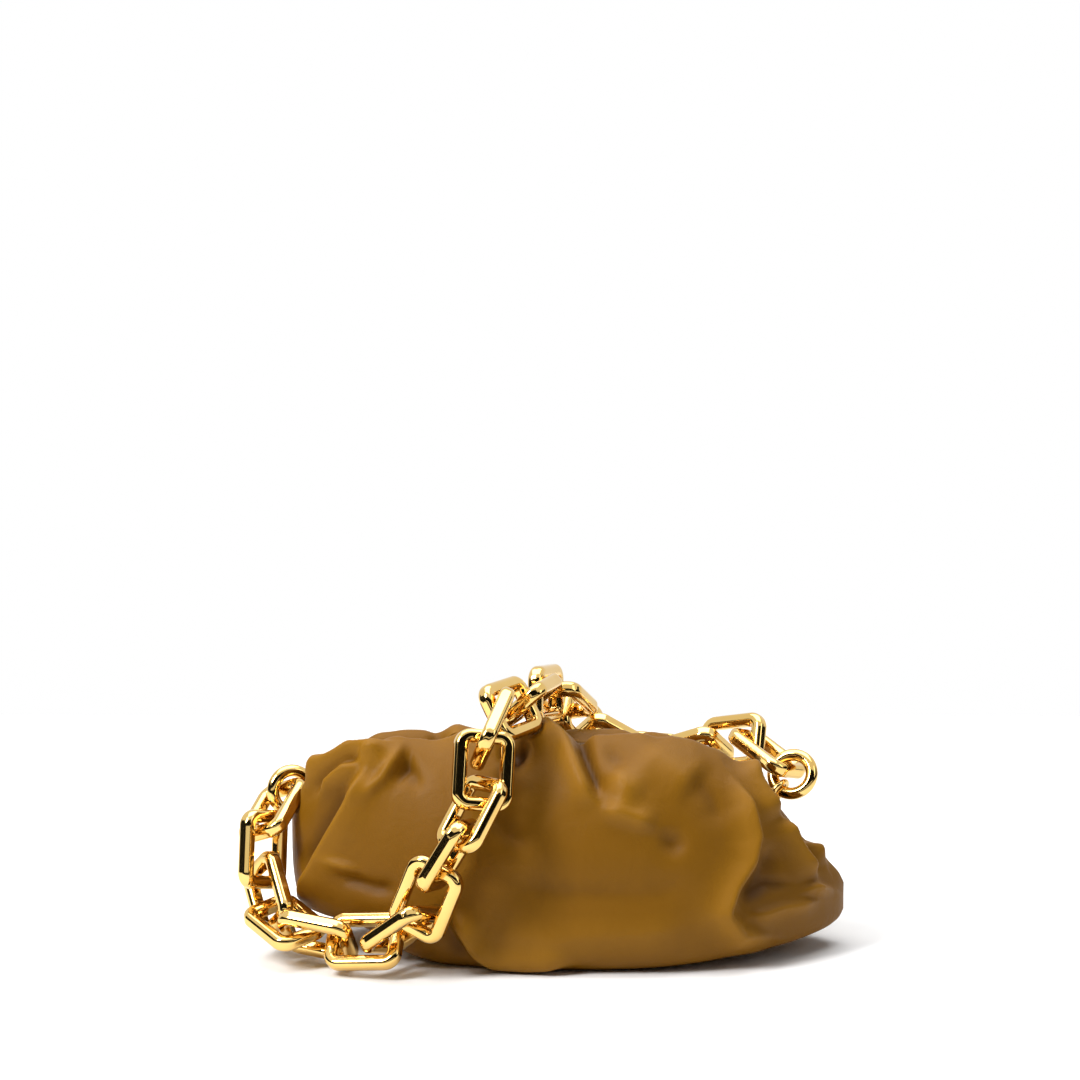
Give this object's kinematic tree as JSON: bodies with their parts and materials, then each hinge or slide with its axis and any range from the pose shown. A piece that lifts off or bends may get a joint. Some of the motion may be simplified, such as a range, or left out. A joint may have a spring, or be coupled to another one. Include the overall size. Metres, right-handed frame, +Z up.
{
  "type": "chain shoulder bag",
  "caption": "Slouchy smooth leather pouch bag gathered on a hidden hinged frame, with a heavy polished gold chain of oblong links hung from an O-ring at each end.",
  "frame": {"origin": "a point on the flat underside of the pouch, midway between the two hinge pins", "axes": "+X along the bag's length to the right as seen from the front, +Y to the rear, +Z up"},
  "size_m": [0.339, 0.1924, 0.1589],
  "materials": {
    "leather": "smooth satin",
    "lining": "suede",
    "sleeve_tape": "matt",
    "magnet": "plated",
    "gold": "polished",
    "frame_steel": "satin"
  },
  "bodies": {
    "pouch": {"pouch_leather": "leather", "lining": "lining", "left_hinge_pin": "frame_steel", "right_hinge_pin": "frame_steel", "left_lug": "gold", "right_lug": "gold", "front_mouth_leather": "leather", "rear_mouth_leather": "leather"},
    "front_frame": {"front_jaw": "frame_steel", "front_jaw_sleeve": "sleeve_tape", "front_magnets": "magnet"},
    "rear_frame": {"rear_jaw": "frame_steel", "rear_jaw_sleeve": "sleeve_tape", "rear_magnets": "magnet"},
    "left_ring": {"left_ring": "gold"},
    "right_ring": {"right_ring": "gold"},
    "chain_link_01": {"chain_link_01": "gold"},
    "chain_link_02": {"chain_link_02": "gold"},
    "chain_link_03": {"chain_link_03": "gold"},
    "chain_link_04": {"chain_link_04": "gold"},
    "chain_link_05": {"chain_link_05": "gold"},
    "chain_link_06": {"chain_link_06": "gold"},
    "chain_link_07": {"chain_link_07": "gold"},
    "chain_link_08": {"chain_link_08": "gold"},
    "chain_link_09": {"chain_link_09": "gold"},
    "chain_link_10": {"chain_link_10": "gold"},
    "chain_link_11": {"chain_link_11": "gold"},
    "chain_link_12": {"chain_link_12": "gold"},
    "chain_link_13": {"chain_link_13": "gold"},
    "chain_link_14": {"chain_link_14": "gold"},
    "chain_link_15": {"chain_link_15": "gold"},
    "chain_link_16": {"chain_link_16": "gold"},
    "chain_link_17": {"chain_link_17": "gold"},
    "chain_link_18": {"chain_link_18": "gold"},
    "chain_link_19": {"chain_link_19": "gold"},
    "chain_link_20": {"chain_link_20": "gold"},
    "chain_link_21": {"chain_link_21": "gold"},
    "chain_link_22": {"chain_link_22": "gold"}
  },
  "joints": [
    {"name": "front_jaw_hinge", "type": "hinge", "parent": "pouch", "child": "front_frame", "pos_m": [0, 0, 0.078], "axis": [1, 0, 0], "range_deg": [0, 48], "deforming": ["front_mouth_leather"]},
    {"name": "rear_jaw_hinge", "type": "hinge", "parent": "pouch", "child": "rear_frame", "pos_m": [0, 0, 0.078], "axis": [1, 0, 0], "range_deg": [-48, 0], "deforming": ["rear_mouth_leather"]},
    {"name": "left_ring_turn", "type": "hinge", "parent": "pouch", "child": "left_ring", "pos_m": [-0.1414, 0.01, 0.086], "axis": [0.456, -0.8809, 0.1266], "continuous": true},
    {"name": "right_ring_turn", "type": "hinge", "parent": "pouch", "child": "right_ring", "pos_m": [0.14424, 0.01776, 0.09384], "axis": [0.3344, 0.8375, -0.4321], "continuous": true},
    {"name": "chain_link_01_roll", "type": "hinge", "parent": "pouch", "child": "chain_link_01", "pos_m": [-0.15096, -0.00353, 0.07744], "axis": [-0.3197, -0.7927, -0.519], "range_deg": [-7, 7]},
    {"name": "chain_link_02_roll", "type": "hinge", "parent": "pouch", "child": "chain_link_02", "pos_m": [-0.15546, -0.01669, 0.05803], "axis": [-0.0275, -0.2207, -0.975], "range_deg": [-7, 7]},
    {"name": "chain_link_03_roll", "type": "hinge", "parent": "pouch", "child": "chain_link_03", "pos_m": [-0.15193, -0.02777, 0.03476], "axis": [0.2887, -0.5989, -0.747], "range_deg": [-3.5, 7]},
    {"name": "chain_link_04_roll", "type": "hinge", "parent": "pouch", "child": "chain_link_04", "pos_m": [-0.14136, -0.04356, 0.02296], "axis": [0.612, -0.7473, -0.2588], "range_deg": [-3.5, 6]},
    {"name": "chain_link_05_roll", "type": "hinge", "parent": "pouch", "child": "chain_link_05", "pos_m": [-0.12214, -0.05727, 0.01855], "axis": [0.931, -0.3525, -0.0952], "range_deg": [-7, 5]},
    {"name": "chain_link_06_roll", "type": "hinge", "parent": "pouch", "child": "chain_link_06", "pos_m": [-0.09573, -0.06624, 0.01849], "axis": [0.9532, -0.2881, 0.0913], "range_deg": [-2, 7]},
    {"name": "chain_link_07_roll", "type": "hinge", "parent": "pouch", "child": "chain_link_07", "pos_m": [-0.07494, -0.07484, 0.02696], "axis": [0.707, -0.3981, 0.5845], "range_deg": [-3.5, 2]},
    {"name": "chain_link_08_roll", "type": "hinge", "parent": "pouch", "child": "chain_link_08", "pos_m": [-0.06152, -0.08172, 0.04589], "axis": [0.3601, -0.1489, 0.9209], "range_deg": [-7, 3]},
    {"name": "chain_link_09_roll", "type": "hinge", "parent": "pouch", "child": "chain_link_09", "pos_m": [-0.04937, -0.08488, 0.07066], "axis": [0.5112, -0.0778, 0.8559], "range_deg": [-7, 3.5]},
    {"name": "chain_link_10_roll", "type": "hinge", "parent": "pouch", "child": "chain_link_10", "pos_m": [-0.03686, -0.08048, 0.0924], "axis": [0.4406, 0.4122, 0.7975], "range_deg": [-3.5, 2.5]},
    {"name": "chain_link_11_roll", "type": "hinge", "parent": "pouch", "child": "chain_link_11", "pos_m": [-0.03068, -0.07138, 0.11449], "axis": [0.048, 0.3079, 0.9502], "range_deg": [-2, 5]},
    {"name": "chain_link_12_roll", "type": "hinge", "parent": "pouch", "child": "chain_link_12", "pos_m": [-0.02596, -0.05723, 0.13472], "axis": [0.3076, 0.7582, 0.5749], "range_deg": [-5, 7]},
    {"name": "chain_link_13_roll", "type": "hinge", "parent": "pouch", "child": "chain_link_13", "pos_m": [-0.01621, -0.03699, 0.14191], "axis": [0.4803, 0.8771, 0.0054], "range_deg": [-7, 3]},
    {"name": "chain_link_14_roll", "type": "hinge", "parent": "pouch", "child": "chain_link_14", "pos_m": [-0.00519, -0.01128, 0.14199], "axis": [0.3038, 0.9527, 0.0005], "range_deg": [-2.5, 7]},
    {"name": "chain_link_15_roll", "type": "hinge", "parent": "pouch", "child": "chain_link_15", "pos_m": [0.00332, 0.01488, 0.14043], "axis": [0.313, 0.9429, -0.1138], "range_deg": [-7, 2.5]},
    {"name": "chain_link_16_roll", "type": "hinge", "parent": "pouch", "child": "chain_link_16", "pos_m": [0.01244, 0.03921, 0.13232], "axis": [0.3449, 0.8119, -0.471], "range_deg": [-7, 7]},
    {"name": "chain_link_17_roll", "type": "hinge", "parent": "pouch", "child": "chain_link_17", "pos_m": [0.02373, 0.05922, 0.11695], "axis": [0.464, 0.6224, -0.6303], "range_deg": [-7, 7]},
    {"name": "chain_link_18_roll", "type": "hinge", "parent": "pouch", "child": "chain_link_18", "pos_m": [0.04124, 0.07144, 0.1014], "axis": [0.8177, 0.2715, -0.5076], "range_deg": [-7, 7]},
    {"name": "chain_link_19_roll", "type": "hinge", "parent": "pouch", "child": "chain_link_19", "pos_m": [0.06524, 0.07257, 0.09396], "axis": [0.9811, -0.1866, -0.0503], "range_deg": [-7, 7]},
    {"name": "chain_link_20_roll", "type": "hinge", "parent": "pouch", "child": "chain_link_20", "pos_m": [0.08964, 0.06357, 0.098], "axis": [0.8097, -0.4737, 0.3465], "range_deg": [-7, 7]},
    {"name": "chain_link_21_roll", "type": "hinge", "parent": "pouch", "child": "chain_link_21", "pos_m": [0.11173, 0.04829, 0.10581], "axis": [0.7618, -0.6132, 0.2091], "range_deg": [-7, 7]},
    {"name": "chain_link_22_roll", "type": "hinge", "parent": "pouch", "child": "chain_link_22", "pos_m": [0.13071, 0.03131, 0.10318], "axis": [0.6465, -0.6471, -0.404], "range_deg": [-7, 5]}
  ],
  "couplings": [
    {"joint": "rear_jaw_hinge", "follows": "front_jaw_hinge", "ratio": -1}
  ]
}
